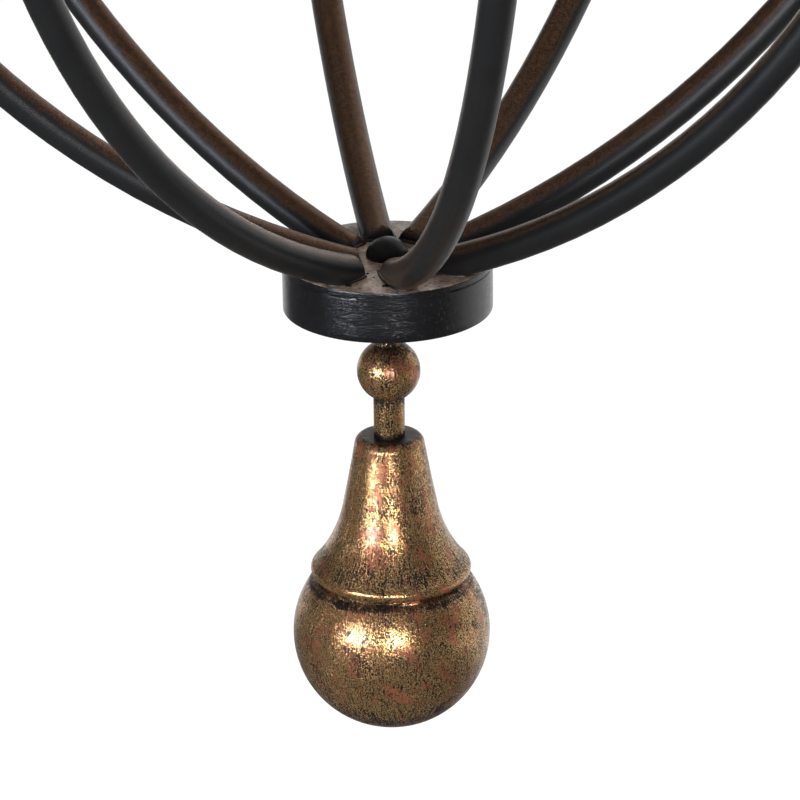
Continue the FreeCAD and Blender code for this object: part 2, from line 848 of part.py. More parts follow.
def light(number):
    """The drip pan, candle sleeve, lamp holder and bulb at the end of one arm."""
    angle = light_angle(number)
    grip = "arm_width / 2 + thread_gap"
    boss = "pan_boss_width / 2"
    edge = "pan_width / 2"
    lip = "pan_width / 2 - pan_lip"
    pan = turned(
        f"drip_pan_{number}",
        [
            ("0", "arm_top"),
            (grip, "arm_top"),
            (grip, "arm_top - pan_grip"),
            (boss, "arm_top - pan_grip"),
            (boss, "arm_top"),
            (lip, "arm_top"),
            (edge, "arm_top + pan_rise"),
            (edge, "pan_floor + pan_rise"),
            (lip, "pan_floor"),
            ("spigot_radius", "pan_floor"),
            ("spigot_radius", "spigot_top"),
            ("0", "spigot_top"),
        ],
    )
    sleeve_radius = "sleeve_width / 2"
    sleeve = ring(
        f"candle_sleeve_{number}",
        f"{sleeve_radius} - sleeve_wall",
        sleeve_radius,
        "pan_floor",
        "sleeve_top",
    )
    holder = turned(
        f"lamp_socket_{number}",
        [
            ("0", "spigot_top"),
            ("socket_post_width / 2", "spigot_top"),
            ("socket_post_width / 2", "socket_top - socket_height"),
            ("socket_width / 2", "socket_top - socket_height"),
            ("socket_width / 2", "socket_top"),
            ("bulb_base_width / 2 + thread_gap", "socket_top"),
            ("bulb_base_width / 2 + thread_gap", "socket_bore_floor"),
            ("0", "socket_bore_floor"),
        ],
    )
    base = "bulb_base_width / 2"
    neck = "bulb_neck_width / 2"
    belly = "socket_top + bulb_belly_height"
    neck_top = f"{belly} - sqrt((bulb_width / 2) ^ 2 - ({neck}) ^ 2)"
    shoulder = "bulb_width / 2 * cos(bulb_shoulder_angle * 1 deg)"
    shoulder_top = f"{belly} + bulb_width / 2 * sin(bulb_shoulder_angle * 1 deg)"
    bulb_top = "socket_top + bulb_height"
    bulb = turned(
        f"bulb_{number}",
        [
            ("0", "socket_bore_floor"),
            (base, "socket_bore_floor"),
            (base, "socket_top"),
            (neck, "socket_top"),
            (neck, neck_top),
            (shoulder, shoulder_top),
            ("bulb_tip_width / 2", bulb_top),
            ("0", bulb_top),
        ],
        {4: "bulb_width / 2"},
    )
    for piece in (pan, sleeve, holder, bulb):
        set_round(piece, angle, "arm_reach")


def ceiling_set():
    canopy()
    crossbar()
    ground_screw()
    locknut()
    nipple_floor = "upper_stem_top - loop_thread_depth"
    ring("ceiling_nipple", "nipple_bore / 2", "nipple_radius", nipple_floor, "nipple_top")
    eye_loop("canopy_loop", "upper_ring", "1", "loop_stem_height")
    thread = "loop_stem_width / 2 + thread_gap"
    ring("canopy_collar", thread, "collar_width / 2", "collar_floor", "-canopy_depth", "collar_edge")


def cage():
    eye_loop("fixture_loop", "lower_ring", "-1", "0")
    nipple_floor = "stem_top - nipple_grip"
    ring("top_nipple", "nipple_bore / 2", "nipple_radius", nipple_floor, "hub_top + loop_thread_depth")
    nipple_hole = "nipple_radius + bore_gap"
    hub("top_hub", nipple_hole, "cage_top + plate_thickness", "hub_thickness")
    hub("top_hub_plate", nipple_hole, "cage_top", "plate_thickness")
    for number in range(1, RIBS + 1):
        rib(number)
    hub("bottom_hub_plate", "stud_bore", "cage_floor - plate_thickness", "plate_thickness")
    hub("bottom_hub", "stud_bore", "hub_floor", "hub_thickness")
    cap_nut()


def write_parts():
    """Checks every object and writes each node's shape."""
    doc.recompute()
    for thing in doc.Objects:
        if "Invalid" in thing.State or "Error" in thing.State:
            raise RuntimeError(f"{thing.Label} failed: {thing.State}")
    for node in NODES:
        if node.Shape.isNull() or not node.Shape.isValid():
            raise RuntimeError(f"{node.Label} has no valid shape")
        if len(node.Shape.Solids) != 1:
            raise RuntimeError(f"{node.Label} has {len(node.Shape.Solids)} solids")
    for node in NODES:
        node.Shape.exportStep(f"parts/{node.Label}.step")


ceiling_set()
for link_number in range(1, CHAIN_LINKS + 1):
    chain_link(link_number)
cage()
finial()
cluster()
for light_number in range(1, LIGHTS + 1):
    arm(light_number)
    light(light_number)
write_parts()
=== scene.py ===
"""An orb chandelier of bent iron bars, seen from a little above its turned gold finial.

Sizes are in millimetres until MM turns them to metres. Places come from the frame, which
is in metres.
"""

import json
import math
import random

import bpy
import mathutils
from mathutils import Matrix, Quaternion, Vector

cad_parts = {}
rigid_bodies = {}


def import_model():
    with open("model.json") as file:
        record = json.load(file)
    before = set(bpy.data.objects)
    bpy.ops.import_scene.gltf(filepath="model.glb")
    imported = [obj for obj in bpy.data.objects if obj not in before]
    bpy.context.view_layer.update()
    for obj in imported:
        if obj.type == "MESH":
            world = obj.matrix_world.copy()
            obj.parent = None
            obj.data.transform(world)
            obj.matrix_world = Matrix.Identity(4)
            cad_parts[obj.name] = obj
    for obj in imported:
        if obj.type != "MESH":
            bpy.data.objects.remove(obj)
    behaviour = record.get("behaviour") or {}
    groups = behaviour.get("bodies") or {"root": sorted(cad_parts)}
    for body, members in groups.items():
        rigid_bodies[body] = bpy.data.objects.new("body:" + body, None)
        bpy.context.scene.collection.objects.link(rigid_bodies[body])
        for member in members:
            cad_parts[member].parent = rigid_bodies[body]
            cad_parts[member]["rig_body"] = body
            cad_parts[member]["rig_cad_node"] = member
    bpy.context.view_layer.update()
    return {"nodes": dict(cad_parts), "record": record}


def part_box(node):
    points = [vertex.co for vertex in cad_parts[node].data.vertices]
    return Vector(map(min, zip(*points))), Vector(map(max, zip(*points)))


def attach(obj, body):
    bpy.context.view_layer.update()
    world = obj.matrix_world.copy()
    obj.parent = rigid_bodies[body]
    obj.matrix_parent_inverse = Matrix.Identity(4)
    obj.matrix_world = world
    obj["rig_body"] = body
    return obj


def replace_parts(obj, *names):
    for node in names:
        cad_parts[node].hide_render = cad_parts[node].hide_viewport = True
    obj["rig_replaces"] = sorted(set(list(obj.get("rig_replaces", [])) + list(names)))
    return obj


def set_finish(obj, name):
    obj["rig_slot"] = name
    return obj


MM = 0.001

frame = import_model()

RIBS = 8
LIGHTS = 4
LINKS = 3
BAR_WIDTH = 15.9
CAGE_WIDTH = 625.0
BAR_FOOT_RADIUS = 25.2
FIRST_BAR_ANGLE = 22.5
CAMERA_AZIMUTH = 12.15

plate_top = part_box("bottom_hub_plate")[1].z
hub_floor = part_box("bottom_hub")[0].z
cage_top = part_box("top_hub_plate")[0].z
cage_middle = Vector((0, 0, (plate_top + cage_top) / 2))
half_cage = (cage_top - plate_top) / 2


# ---------------------------------------------------------------- colours and nodes


def srgb(code):
    """An sRGB hex colour as the linear colour that a shader takes."""
    parts = [int(code[place : place + 2], 16) / 255 for place in (1, 3, 5)]
    linear = [c / 12.92 if c <= 0.04045 else ((c + 0.055) / 1.055) ** 2.4 for c in parts]
    return (*linear, 1.0)


def grains(size):
    """The noise scale that gives features of this size in millimetres."""
    return 1 / (size * MM)


def add(tree, kind, *values, out=None, **words):
    """Adds a node and returns the output of that name, or else its first.

    Values go to the inputs in their order, and a word with a capital goes to the input of
    that name. Each is a constant, a hex colour or the output that feeds it. A word in lower
    case is one of the node's own settings.
    """
    node = tree.nodes.new("ShaderNode" + kind)
    for word in [word for word in words if word[0].islower()]:
        setattr(node, word, words.pop(word))
    inputs = [socket for socket in node.inputs if socket.enabled]
    fed = list(zip(inputs, values))
    fed += [(node.inputs[word.replace("_", " ")], value) for word, value in words.items()]
    for socket, value in fed:
        if isinstance(value, bpy.types.NodeSocket):
            tree.links.new(value, socket)
        else:
            socket.default_value = srgb(value) if isinstance(value, str) else value
    if out:
        return node.outputs[out]
    return next((socket for socket in node.outputs if socket.enabled), None)


# Settings of two nodes: a range with soft ends, and a mix of colours.
SOFT = {"interpolation_type": "SMOOTHSTEP"}
COLOUR = {"data_type": "RGBA"}


def new_material(name):
    """A material without nodes, and its tree."""
    material = bpy.data.materials.new(name)
    material.use_nodes = True
    material.node_tree.nodes.clear()
    return material, material.node_tree


# ---------------------------------------------------------------- materials

# Within this far of a bar's end, where it meets a hub, the powder thins out in patches.
BARE_END_REACH = 14.0


def lacquered_iron(name, dusted):
    """Hot-rolled steel in satin black lacquer, dusted with bronze powder from inside the
    cage. It looks charcoal with a soft sheen, and a warm brown where the powder lies. The
    powder's grains are under 0.1 mm, and are drawn 0.6 mm wide so that they show."""
    material, tree = new_material(name)
    place = add(tree, "TexCoord", out="Object")
    level = add(tree, "SeparateXYZ", place, out="Z")
    if dusted == "inside":
        place = add(tree, "Attribute", out="Vector", attribute_name="grain")
        inward = add(tree, "SeparateXYZ", place, out="X")
        facing = add(tree, "Math", inward, BAR_WIDTH / 2 * MM, operation="DIVIDE")
        limits = (0.4, 0.8)
    else:
        upward = add(tree, "SeparateXYZ", add(tree, "TexCoord", out="Normal"), out="Z")
        side = -1.0 if dusted == "below" else 1.0
        facing = add(tree, "Math", upward, side, operation="MULTIPLY")
        limits = (0.75, 1.6) if dusted == "faintly" else (0.45, 0.9)
    cloud = add(tree, "TexNoise", place, grains(22.0), 3.0, 0.55)
    speck = add(tree, "TexNoise", place, grains(0.6), 3.0, 0.65)
    drawn = add(tree, "VectorMath", place, (1 / 5, 1 / 5, 1), operation="MULTIPLY")
    hatch = add(tree, "TexNoise", drawn, grains(0.6), 2.0, 0.55)
    off = add(tree, "Math", level, cage_middle.z, operation="SUBTRACT")
    off = add(tree, "Math", off, operation="ABSOLUTE")
    # The powder thins out in patches near each end of a bar.
    foot = add(tree, "MapRange", off, half_cage - BARE_END_REACH * MM, half_cage, **SOFT)
    patchy_end = add(tree, "MapRange", speck, 0.35, 0.6, **SOFT)
    bare_end = add(tree, "Math", foot, patchy_end, operation="MULTIPLY")
    reach = -0.23
    for part, weight in ((facing, 1.0), (cloud, 0.3), (speck, 0.16), (bare_end, -0.35)):
        reach = add(tree, "Math", part, weight, reach, operation="MULTIPLY_ADD")
    dust = add(tree, "MapRange", reach, *limits, **SOFT)
    grit = add(tree, "Math", speck, 0.7, operation="MULTIPLY")
    grit = add(tree, "Math", hatch, 0.3, grit, operation="MULTIPLY_ADD")
    grit = add(tree, "MapRange", grit, 0.38, 0.62, **SOFT)
    lacquer = add(tree, "Mix", cloud, "#101011", "#1a1a19", **COLOUR)
    powder = add(tree, "Mix", grit, "#362820", "#705440", **COLOUR)
    relief = add(tree, "Math", hatch, 0.8, speck, operation="MULTIPLY_ADD")
    surface = add(
        tree,
        "BsdfPrincipled",
        Base_Color=add(tree, "Mix", dust, lacquer, powder, **COLOUR),
        Metallic=add(tree, "Math", dust, 0.88, operation="MULTIPLY"),
        Roughness=add(tree, "MapRange", dust, 0.0, 1.0, 0.38, 0.26, **SOFT),
        Specular_IOR_Level=0.38,
        Sheen_Weight=0.2,
        Sheen_Roughness=0.15,
        Sheen_Tint="#c08d62",
        Normal=add(tree, "Bump", Height=relief, Distance=0.11 * MM, Strength=1.0),
    )
    add(tree, "OutputMaterial", surface)
    return material


def brushed_lacquer(name, dusty_side):
    """The same lacquer, brushed thickly round a hub's disc. Its edge is near black with
    fine strokes; its face is a dusty grey brown with black pits. A bristle's mark is about
    0.2 mm wide, and is drawn 0.5 mm wide so that it shows."""
    material, tree = new_material(name)
    place = add(tree, "TexCoord", out="Object")
    round_rim = add(tree, "Attribute", out="Vector", attribute_name="brush")
    upward = add(tree, "SeparateXYZ", add(tree, "TexCoord", out="Normal"), out="Z")
    level = add(tree, "SeparateXYZ", place, out="Z")
    face = plate_top if dusty_side > 0 else cage_top
    sunk = add(tree, "Math", level, face, operation="SUBTRACT")
    sunk = add(tree, "Math", sunk, operation="ABSOLUTE")
    on_face = add(tree, "MapRange", sunk, 0.3 * MM, 0.9 * MM, 1.0, 0.0, **SOFT)
    dusty = add(tree, "Math", on_face, dusty_side, operation="MULTIPLY")
    facing = add(tree, "Math", upward, dusty, operation="MULTIPLY")
    fine = add(tree, "VectorMath", round_rim, (1 / 9, 1 / 9, 1), operation="MULTIPLY")
    stroke = add(tree, "TexNoise", fine, grains(0.5), 4.0, 0.6)
    wide = add(tree, "VectorMath", round_rim, (1 / 6, 1 / 6, 1), operation="MULTIPLY")
    broad = add(tree, "TexNoise", wide, grains(3.0), 3.0, 0.55)
    cloud = add(tree, "TexNoise", place, grains(9.0), 4.0, 0.6)
    pit = add(tree, "TexNoise", place, grains(1.7), 4.0, 0.7)
    pits = add(tree, "MapRange", pit, 0.6, 0.66, **SOFT)
    reach = -0.25
    for part, weight in ((facing, 1.0), (cloud, 0.5), (pits, -0.5)):
        reach = add(tree, "Math", part, weight, reach, operation="MULTIPLY_ADD")
    dust = add(tree, "MapRange", reach, 0.5, 0.85, **SOFT)
    shade = add(tree, "MapRange", cloud, 0.35, 0.65, **SOFT)
    powder = add(tree, "Mix", shade, "#826c5b", "#bba592", **COLOUR)
    stain = add(tree, "MapRange", pit, 0.4, 0.6, 0.0, 0.5, **SOFT)
    powder = add(tree, "Mix", stain, powder, "#3a2d24", **COLOUR)
    lacquer = add(tree, "Mix", broad, "#080809", "#121213", **COLOUR)
    wear = add(tree, "Math", stroke, 0.5, operation="MULTIPLY")
    wear = add(tree, "Math", dust, 0.5, wear, operation="MULTIPLY_ADD")
    ridge = add(tree, "Math", broad, 0.8, stroke, operation="MULTIPLY_ADD")
    edge = add(tree, "MapRange", facing, 0.2, 0.8, 1.0, 0.1, **SOFT)
    relief = add(tree, "Math", ridge, edge, operation="MULTIPLY")
    for part, weight in ((pits, -0.8), (pit, 0.4)):
        relief = add(tree, "Math", part, weight, relief, operation="MULTIPLY_ADD")
    surface = add(
        tree,
        "BsdfPrincipled",
        Base_Color=add(tree, "Mix", dust, lacquer, powder, **COLOUR),
        Metallic=add(tree, "Math", dust, 0.2, operation="MULTIPLY"),
        Roughness=add(tree, "MapRange", wear, 0.15, 0.7, 0.2, 0.38, **SOFT),
        Specular_IOR_Level=0.5,
        Normal=add(tree, "Bump", Height=relief, Distance=0.15 * MM, Strength=1.0),
    )
    add(tree, "OutputMaterial", surface)
    return material


def thick_lacquer(name, low, high):
    """Black lacquer thick enough to level out: a satin nut, and glossy drops."""
    material, tree = new_material(name)
    cloud = add(tree, "TexNoise", add(tree, "TexCoord", out="Object"), grains(1.5), 2.0, 0.55)
    surface = add(
        tree,
        "BsdfPrincipled",
        Base_Color=add(tree, "Mix", cloud, "#060606", "#0f0e0d", **COLOUR),
        Roughness=add(tree, "MapRange", cloud, 0.3, 0.7, low, high, **SOFT),
        Specular_IOR_Level=0.22,
        Normal=add(tree, "Bump", Height=cloud, Distance=0.05 * MM, Strength=0.5),
    )
    add(tree, "OutputMaterial", surface)
    return material


# Where the finial is darkened, partly by a dark wash left in its joints and hollows and
# partly as painted shade: (node, its floor 0 or top 1, mm above that, how far it spreads in
# mm, how strong it is). A negative strength lightens.
WASH_AND_PAINTED_SHADE = [
    # Bead, neck and bell-top creases, and the hollow above the lip: dark wash and painted shade.
    ("finial_bead", 1, -1.0, 7.5, 0.6),
    ("finial_neck", 1, -0.5, 5.0, 0.6),
    ("finial_neck", 0, 0.5, 3.0, 0.7),
    ("finial_bell", 1, 0.6, 1.5, 0.5),
    ("finial_bell", 0, 13.0, 7.0, 0.35),
    # The lip is gilt more fully: partly rubbed bare, partly a painted highlight on its edge.
    ("finial_bell", 0, 5.5, 3.0, -0.5),
    # Painted shadow under the bell's lip, where it meets the ball.
    ("finial_bell", 0, -1.0, 3.0, 0.7),
    # Painted shade on the ball's underside, darker towards the bottom.
    ("finial_ball", 0, 14.0, 13.0, 0.45),
]


def antique_gold():
    """Metal leaf over black gesso, rubbed back along the turning and sealed with wax. The
    leaf is broken by black flecks and glitters, and its red bole shows as coppery patches.
    The flecks are about 0.3 mm wide, and are drawn twice as wide so that they show."""
    material, tree = new_material("antique_gold_leaf")
    place = add(tree, "TexCoord", out="Object")
    leaf = add(tree, "Attribute", out="Vector", attribute_name="leaf")
    height = add(tree, "SeparateXYZ", place, out="Z")
    # Painted shade and dark wash, summed over the table's places.
    wash_and_shade = 0.0
    for node, end, lift, spread, strength in WASH_AND_PAINTED_SHADE:
        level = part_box(node)[end].z + lift * MM
        off = add(tree, "Math", height, level, operation="SUBTRACT")
        off = add(tree, "Math", off, operation="ABSOLUTE")
        here = add(tree, "MapRange", off, 0.0, spread * MM, strength, 0.0, **SOFT)
        wash_and_shade = add(tree, "Math", here, wash_and_shade, operation="ADD")
    fleck = add(tree, "TexNoise", place, grains(0.62), 3.0, 0.6)
    rubbed = add(tree, "VectorMath", leaf, (1, 1, 1 / 9), operation="MULTIPLY")
    fibre = add(tree, "TexNoise", rubbed, grains(0.6), 3.0, 0.65)
    worn = add(tree, "TexNoise", place, grains(11.0), 5.0, 0.7)
    bole = add(tree, "TexNoise", leaf, grains(11.0), 6.0, 0.75)
    cover = 0.0
    for part, weight in ((fleck, 1.8), (fibre, 1.6), (worn, 1.1), (wash_and_shade, -0.45)):
        cover = add(tree, "Math", part, weight, cover, operation="MULTIPLY_ADD")
    gilt = add(tree, "MapRange", cover, 2.1, 2.2, **SOFT)
    glint = add(tree, "MapRange", fleck, 0.4, 0.65, **SOFT)
    shade = add(tree, "Mix", glint, "#6a4a2a", "#dfb47a", **COLOUR)
    copper = add(tree, "Math", fleck, 0.2, bole, operation="MULTIPLY_ADD")
    copper = add(tree, "MapRange", copper, 0.64, 0.67, **SOFT)
    shade = add(tree, "Mix", copper, shade, "#a86c4c", **COLOUR)
    metal = add(tree, "Math", copper, -0.3, gilt, operation="MULTIPLY_ADD")
    relief = fleck
    for part, weight in ((fibre, 0.25), (gilt, 0.2)):
        relief = add(tree, "Math", part, weight, relief, operation="MULTIPLY_ADD")
    surface = add(
        tree,
        "BsdfPrincipled",
        Base_Color=add(tree, "Mix", gilt, "#0f0b08", shade, **COLOUR),
        Metallic=add(tree, "MapRange", metal, 0.0, 1.0, 0.1, 0.85, **SOFT),
        Roughness=add(tree, "MapRange", gilt, 0.0, 1.0, 0.5, 0.2, **SOFT),
        Specular_IOR_Level=0.15,
        Coat_Weight=0.25,
        Coat_Roughness=0.2,
        Normal=add(tree, "Bump", Height=relief, Distance=0.12 * MM, Strength=1.0),
    )
    add(tree, "OutputMaterial", surface)
    return material


def zinc_plate():
    """Bright zinc plating on stamped steel: pale blue-grey with cloudy spangles, and
    hairline scratches that are drawn 0.5 mm wide so that they show."""
    material, tree = new_material("zinc_plated_steel")
    place = add(tree, "TexCoord", out="Object")
    spangle = add(tree, "TexNoise", place, grains(3.0), 4.0, 0.55)
    drawn = add(tree, "VectorMath", place, (1 / 14, 1, 1), operation="MULTIPLY")
    scratch = add(tree, "TexNoise", drawn, grains(0.5), 2.0, 0.55)
    surface = add(
        tree,
        "BsdfPrincipled",
        Base_Color=add(tree, "Mix", spangle, "#8e9296", "#c3c6c8", **COLOUR),
        Metallic=1.0,
        Roughness=add(tree, "MapRange", scratch, 0.3, 0.7, 0.28, 0.45, **SOFT),
        Normal=add(tree, "Bump", Height=scratch, Distance=0.02 * MM, Strength=0.5),
    )
    add(tree, "OutputMaterial", surface)
    return material


def grounding_green():
    """A machine screw dyed green over zinc, the colour of an earth screw."""
    material, tree = new_material("green_dyed_zinc")
    wear = add(tree, "TexNoise", add(tree, "TexCoord", out="Object"), grains(1.2), 3.0, 0.55)
    surface = add(
        tree,
        "BsdfPrincipled",
        Base_Color=add(tree, "Mix", wear, "#1d5a2c", "#3a8148", **COLOUR),
        Metallic=0.6,
        Roughness=add(tree, "MapRange", wear, 0.3, 0.7, 0.3, 0.45, **SOFT),
    )
    add(tree, "OutputMaterial", surface)
    return material


def candle_ivory():
    """Moulded ivory sleeve: matt, slightly waxy, with faint clouding. The mould's fine
    texture is drawn 0.6 mm wide so that it shows."""
    material, tree = new_material("ivory_moulded_sleeve")
    place = add(tree, "TexCoord", out="Object")
    tall = add(tree, "VectorMath", place, (1, 1, 1 / 2), operation="MULTIPLY")
    cloud = add(tree, "TexNoise", tall, grains(18.0), 3.0, 0.55)
    grain = add(tree, "TexNoise", place, grains(0.6), 2.0, 0.55)
    surface = add(
        tree,
        "BsdfPrincipled",
        Base_Color=add(tree, "Mix", cloud, "#d8ccae", "#e9e0c8", **COLOUR),
        Roughness=add(tree, "MapRange", cloud, 0.3, 0.7, 0.5, 0.62, **SOFT),
        Subsurface_Weight=0.08,
        Subsurface_Radius=(0.004, 0.002, 0.001),
        Normal=add(tree, "Bump", Height=grain, Distance=0.05 * MM, Strength=0.4),
    )
    add(tree, "OutputMaterial", surface)
    return material


def holder_black():
    """Black phenolic lamp holder: hard, moulded, with a low gloss."""
    material, tree = new_material("black_phenolic_holder")
    cloud = add(tree, "TexNoise", add(tree, "TexCoord", out="Object"), grains(4.0), 3.0, 0.55)
    surface = add(
        tree,
        "BsdfPrincipled",
        Base_Color=add(tree, "Mix", cloud, "#151413", "#26241f", **COLOUR),
        Roughness=add(tree, "MapRange", cloud, 0.3, 0.7, 0.25, 0.4, **SOFT),
    )
    add(tree, "OutputMaterial", surface)
    return material


def blown_glass():
    """Clear blown soda-lime glass of a bulb's envelope and inner stem, faintly uneven."""
    material, tree = new_material("clear_blown_glass")
    wave = add(tree, "TexNoise", add(tree, "TexCoord", out="Object"), grains(9.0), 1.0, 0.55)
    surface = add(
        tree,
        "BsdfPrincipled",
        Base_Color="#fbfbf9",
        Roughness=0.02,
        IOR=1.5,
        Transmission_Weight=1.0,
        Normal=add(tree, "Bump", Height=wave, Distance=0.15 * MM, Strength=0.3),
    )
    add(tree, "OutputMaterial", surface)
    return material


def bulb_brass():
    """Drawn brass of the bulb's screw shell, lightly tarnished."""
    material, tree = new_material("drawn_brass_shell")
    tarnish = add(tree, "TexNoise", add(tree, "TexCoord", out="Object"), grains(3.0), 4.0, 0.55)
    surface = add(
        tree,
        "BsdfPrincipled",
        Base_Color=add(tree, "Mix", tarnish, "#8f7a45", "#cdb274", **COLOUR),
        Metallic=1.0,
        Roughness=add(tree, "MapRange", tarnish, 0.3, 0.7, 0.22, 0.42, **SOFT),
    )
    add(tree, "OutputMaterial", surface)
    return material


def filament_wire():
    """Drawn tungsten wire of the filament: thin grey metal, a little patchy. Its drawing
    marks are drawn as wide as the wire so that they show."""
    material, tree = new_material("grey_tungsten_wire")
    marks = add(tree, "TexNoise", add(tree, "TexCoord", out="Object"), grains(0.5), 2.0, 0.55)
    surface = add(
        tree,
        "BsdfPrincipled",
        Base_Color=add(tree, "Mix", marks, "#6b6862", "#97938c", **COLOUR),
        Metallic=1.0,
        Roughness=0.35,
    )
    add(tree, "OutputMaterial", surface)
    return material


# ---------------------------------------------------------------- modelling helpers

# Points of a mesh that are closer than this are one point.
SAME_POINT = 0.001


def pick_only(*things):
    """Selects these objects alone, and makes the first of them the active one."""
    bpy.ops.object.select_all(action="DESELECT")
    for thing in things:
        thing.select_set(True)
    bpy.context.view_layer.objects.active = things[0]


def settle(piece, name, material, body, slot, *nodes):
    """Names a finished piece, fixes its place in its mesh and hands it to its body."""
    pick_only(piece)
    bpy.ops.object.transform_apply(location=True, rotation=True, scale=True)
    piece.name = name
    piece.data.name = name
    piece.data.materials.clear()
    piece.data.materials.append(material)
    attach(piece, body)
    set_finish(piece, slot)
    if nodes:
        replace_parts(piece, *nodes)
    return piece


def body_of(node):
    """The moving body that a node belongs to."""
    bodies = frame["record"]["behaviour"]["bodies"]
    return next(body for body, members in bodies.items() if node in members)


def twin(source):
    """A free copy with its own mesh, which rides on nothing yet."""
    piece = source.copy()
    piece.data = source.data.copy()
    piece.parent = None
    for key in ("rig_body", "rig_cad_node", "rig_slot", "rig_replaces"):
        if key in piece:
            del piece[key]
    piece.hide_render = False
    bpy.context.collection.objects.link(piece)
    piece.hide_set(False)
    return piece


def skin(node, material, slot, angle=35.0):
    """A smooth copy of a node: its loose triangles merged, with its sharp edges kept."""
    piece = twin(frame["nodes"][node])
    pick_only(piece)
    bpy.ops.object.mode_set(mode="EDIT")
    bpy.ops.mesh.select_all(action="SELECT")
    bpy.ops.mesh.remove_doubles(threshold=SAME_POINT * MM)
    bpy.ops.object.mode_set(mode="OBJECT")
    bpy.ops.object.shade_smooth_by_angle(angle=math.radians(angle))
    return settle(piece, node + "_skin", material, body_of(node), slot, node)


def write_vectors(piece, name, vectors):
    """Writes a vector to each point, for a material's pattern to follow."""
    layer = piece.data.attributes.new(name, "FLOAT_VECTOR", "POINT")
    layer.data.foreach_set("vector", [part for vector in vectors for part in vector])


def drawn_line(points):
    """A line of edges through these points, left in edit mode with all of it selected."""
    bpy.ops.object.select_all(action="DESELECT")
    bpy.ops.mesh.primitive_plane_add(size=MM)
    piece = bpy.context.object
    bpy.ops.object.mode_set(mode="EDIT")
    bpy.ops.mesh.select_all(action="SELECT")
    bpy.ops.mesh.merge(type="CENTER")
    bpy.ops.transform.translate(value=points[0])
    for start, stop in zip(points, points[1:]):
        step = Vector(stop) - Vector(start)
        bpy.ops.mesh.extrude_region_move(TRANSFORM_OT_translate={"value": step})
    bpy.ops.mesh.select_all(action="SELECT")
    return piece


def turned(outline, steps=96, angle=35.0):
    """A piece turned about the vertical axis from its outline of (radius, height), in
    metres. It ends where it starts if the outline does."""
    piece = drawn_line([(radius, 0, height) for radius, height in outline])
    bpy.ops.mesh.spin(steps=steps, angle=math.tau, center=(0, 0, 0), axis=(0, 0, 1))
    bpy.ops.mesh.select_all(action="SELECT")
    bpy.ops.mesh.remove_doubles(threshold=SAME_POINT * MM)
    bpy.ops.mesh.normals_make_consistent(inside=False)
    bpy.ops.object.mode_set(mode="OBJECT")
    bpy.ops.object.shade_smooth_by_angle(angle=math.radians(angle))
    return piece


def made_tube(piece, width):
    """Turns a line of edges into a round tube of this width."""
    pick_only(piece)
    bpy.ops.object.convert(target="CURVE")
    piece = bpy.context.object
    piece.data.bevel_depth = width / 2
    piece.data.bevel_resolution = 2
    bpy.ops.object.convert(target="MESH")
    piece = bpy.context.object
    bpy.ops.object.shade_smooth_by_angle(angle=math.radians(50))
    return piece


def joined(pieces):
    """Makes these pieces one object."""
    pick_only(*pieces)
    bpy.ops.object.join()
    return bpy.context.object


def ripple(piece, size, depth):
    """Moves the surface in and out by up to depth, in lumps of this size."""
    for vertex in piece.data.vertices:
        lump = mathutils.noise.noise(vertex.co / size)
        vertex.co += vertex.normal * lump * depth


# ---------------------------------------------------------------- cage


def lay_grain(piece, azimuth):
    """Writes each point's place in the bar as if the bar were straight: towards the cage's
    middle, sideways, and along. Each bar starts elsewhere along, so no two wear alike."""
    reach = (CAGE_WIDTH - BAR_WIDTH) / 2 * MM
    rise = reach - BAR_FOOT_RADIUS * MM
    bend = (rise**2 + half_cage**2) / (2 * rise)
    axis = reach - bend
    cos, sin = math.cos(azimuth), math.sin(azimuth)
    places = []
    for vertex in piece.data.vertices:
        x, y, z = vertex.co
        out = x * cos + y * sin - axis
        up = z - cage_middle.z
        along = bend * math.atan2(up, out)
        places.append((bend - math.hypot(out, up), y * cos - x * sin, along + azimuth))
    write_vectors(piece, "grain", places)


WELD_WIDTH = 2.6


def weld_round_foot(bar, level):
    """A weld bead round the flat end of a bar, where it meets the plate at this height."""
    bead = twin(bar)
    pick_only(bead)
    bpy.ops.object.mode_set(mode="EDIT")
    bpy.ops.mesh.select_all(action="DESELECT")
    bpy.ops.object.mode_set(mode="OBJECT")
    for vertex in bead.data.vertices:
        vertex.select = abs(vertex.co.z - level) > 0.01 * MM
    bpy.ops.object.mode_set(mode="EDIT")
    bpy.ops.mesh.delete(type="VERT")
    bpy.ops.mesh.select_all(action="SELECT")
    bpy.ops.mesh.dissolve_limited(angle_limit=0.01)
    bpy.ops.mesh.select_all(action="SELECT")
    bpy.ops.mesh.delete(type="ONLY_FACE")
    bpy.ops.object.mode_set(mode="OBJECT")
    return made_tube(bead, WELD_WIDTH * MM)


def cage_bars(iron):
    """The eight bent bars, each with its grain laid along it."""
    bars = []
    for number in range(1, RIBS + 1):
        bar = skin(f"rib_{number}", iron, "dusted_black_iron")
        lay_grain(bar, math.radians(FIRST_BAR_ANGLE + (number - 1) * 360 / RIBS))
        bars.append(bar)
    return bars


def welds(bars, name, level, iron):
    """The lumpy weld beads round the feet of all bars at one hub."""
    beads = joined([weld_round_foot(bar, level) for bar in bars])
    ripple(beads, size=1.8 * MM, depth=0.5 * MM)
    settle(beads, name, iron, "fixture", "dusted_black_iron")


def on_plate(right, nearer):
    """A place on the lower plate, in millimetres from the axis, as the camera sees it."""
    turn = Matrix.Rotation(math.radians(CAMERA_AZIMUTH), 3, "Z")
    return turn @ Vector((right * MM, -nearer * MM, 0)) + Vector((0, 0, plate_top))


